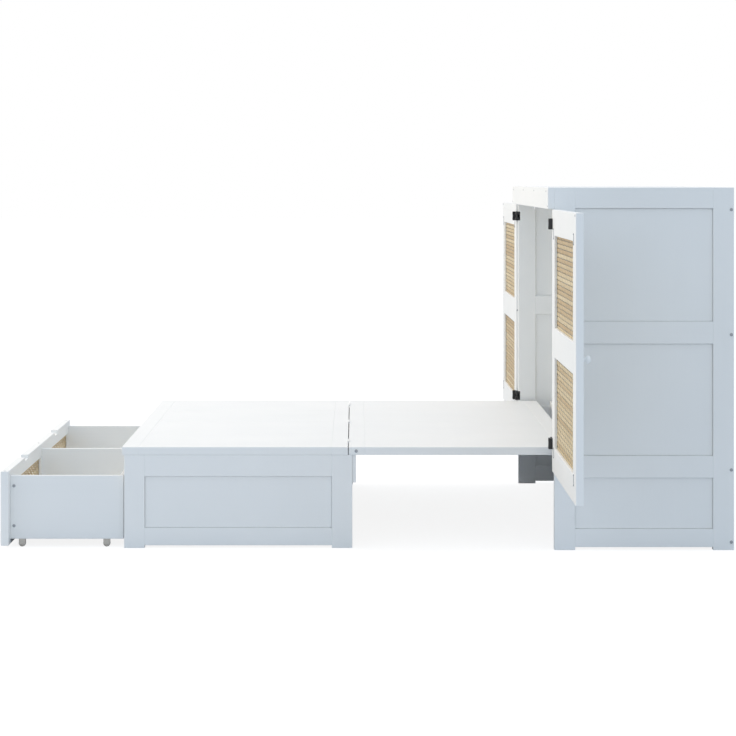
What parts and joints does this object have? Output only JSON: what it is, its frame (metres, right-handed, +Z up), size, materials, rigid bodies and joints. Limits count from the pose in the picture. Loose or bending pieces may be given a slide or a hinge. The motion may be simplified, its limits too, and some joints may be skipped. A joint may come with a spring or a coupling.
{
  "type": "storage bed",
  "caption": "Cabinet bed shown open: rattan doors, a platform that folds in two with fold-flat leg frames, and a wide drawer on castors.",
  "frame": {"origin": "on the floor, at the middle of the open bed's overall length and width", "axes": "+X towards the head end, where the cabinet stands, +Y to the left as seen from the foot, +Z up"},
  "size_m": [2.462, 3.194, 1.215],
  "materials": {
    "white_paint": "satin white paint on wood",
    "rattan": "natural woven rattan",
    "black_steel": "matt black",
    "zinc_steel": "zinc plated",
    "castor_plastic": "moulded",
    "castor_tyre": "moulded"
  },
  "bodies": {
    "cabinet": {"cabinet_posts_right": "white_paint", "cabinet_posts_left": "white_paint", "cabinet_side_rails_right": "white_paint", "cabinet_side_rails_left": "white_paint", "cabinet_side_panels_right": "white_paint", "cabinet_side_panels_left": "white_paint", "cabinet_top_board": "white_paint", "front_apron": "white_paint", "cabinet_back_rails": "white_paint", "cabinet_back_panels": "white_paint", "inner_platform_boards": "white_paint", "inner_platform_front_rail": "white_paint", "inner_platform_cleats": "white_paint", "platform_pivot_brackets": "zinc_steel", "cabinet_bolts": "zinc_steel", "apron_screws": "zinc_steel", "door_hinge_blocks": "black_steel"},
    "middle_platform": {"middle_platform_battens": "white_paint", "middle_platform_boards": "white_paint", "middle_platform_bearers": "white_paint", "middle_platform_bushes": "zinc_steel", "middle_platform_bolts": "zinc_steel", "seam_hinge_leaves_middle": "white_paint"},
    "foot_platform": {"foot_platform_battens": "white_paint", "foot_platform_boards": "white_paint", "foot_platform_bearers": "white_paint", "foot_platform_tie_rail": "white_paint", "seam_hinge_leaves_foot": "white_paint", "leg_hinge_leaves_deck": "zinc_steel"},
    "drawer": {"drawer_front_rails": "white_paint", "drawer_front_stiles": "white_paint", "drawer_front_rattan": "rattan", "drawer_sides": "white_paint", "drawer_back": "white_paint", "drawer_bottom": "white_paint", "drawer_divider": "white_paint", "drawer_screws": "zinc_steel", "castor_housings": "castor_plastic"},
    "door_right": {"door_stiles_right": "white_paint", "door_rails_right": "white_paint", "door_rattan_right": "rattan", "door_knob_right": "white_paint", "door_hinge_leaves_right": "black_steel"},
    "leg_frame_right": {"leg_frame_posts_right": "white_paint", "leg_frame_rails_right": "white_paint", "leg_frame_panel_right": "white_paint", "leg_hinge_leaves_right": "zinc_steel"},
    "castor_wheel_front_right": {"castor_wheel_front_right": "castor_tyre"},
    "castor_wheel_rear_right": {"castor_wheel_rear_right": "castor_tyre"},
    "door_left": {"door_stiles_left": "white_paint", "door_rails_left": "white_paint", "door_rattan_left": "rattan", "door_knob_left": "white_paint", "door_hinge_leaves_left": "black_steel"},
    "leg_frame_left": {"leg_frame_posts_left": "white_paint", "leg_frame_rails_left": "white_paint", "leg_frame_panel_left": "white_paint", "leg_hinge_leaves_left": "zinc_steel"},
    "castor_wheel_front_left": {"castor_wheel_front_left": "castor_tyre"},
    "castor_wheel_rear_left": {"castor_wheel_rear_left": "castor_tyre"}
  },
  "joints": [
    {"name": "door_right_swing", "type": "hinge", "parent": "cabinet", "child": "door_right", "pos_m": [0.62575, -0.8, 0.7], "axis": [0, 0, -1], "range_deg": [0, 90]},
    {"name": "door_left_swing", "type": "hinge", "parent": "cabinet", "child": "door_left", "pos_m": [0.62575, 0.8, 0.7], "axis": [0, 0, 1], "range_deg": [0, 90]},
    {"name": "middle_platform_lift", "type": "hinge", "parent": "cabinet", "child": "middle_platform", "pos_m": [0.689, 0, 0.32675], "axis": [0, 1, 0], "range_deg": [0, 80]},
    {"name": "foot_platform_fold", "type": "hinge", "parent": "middle_platform", "child": "foot_platform", "pos_m": [-0.0615, 0, 0.3405], "axis": [0, 1, 0], "range_deg": [0, 180]},
    {"name": "leg_frame_right_fold", "type": "hinge", "parent": "foot_platform", "child": "leg_frame_right", "pos_m": [-0.444, -0.747, 0.3125], "axis": [1, 0, 0], "range_deg": [0, 90]},
    {"name": "leg_frame_left_fold", "type": "hinge", "parent": "foot_platform", "child": "leg_frame_left", "pos_m": [-0.444, 0.747, 0.3125], "axis": [-1, 0, 0], "range_deg": [0, 90]},
    {"name": "drawer_roll", "type": "slide", "parent": "cabinet", "child": "drawer", "axis": [1, 0, 0], "range_m": [0, 0.38]},
    {"name": "castor_front_right_spin", "type": "hinge", "parent": "drawer", "child": "castor_wheel_front_right", "pos_m": [-1.165, -0.7357, 0.012], "axis": [0, 1, 0], "continuous": true},
    {"name": "castor_rear_right_spin", "type": "hinge", "parent": "drawer", "child": "castor_wheel_rear_right", "pos_m": [-0.879, -0.7357, 0.012], "axis": [0, 1, 0], "continuous": true},
    {"name": "castor_front_left_spin", "type": "hinge", "parent": "drawer", "child": "castor_wheel_front_left", "pos_m": [-1.165, 0.7357, 0.012], "axis": [0, 1, 0], "continuous": true},
    {"name": "castor_rear_left_spin", "type": "hinge", "parent": "drawer", "child": "castor_wheel_rear_left", "pos_m": [-0.879, 0.7357, 0.012], "axis": [0, 1, 0], "continuous": true}
  ]
}
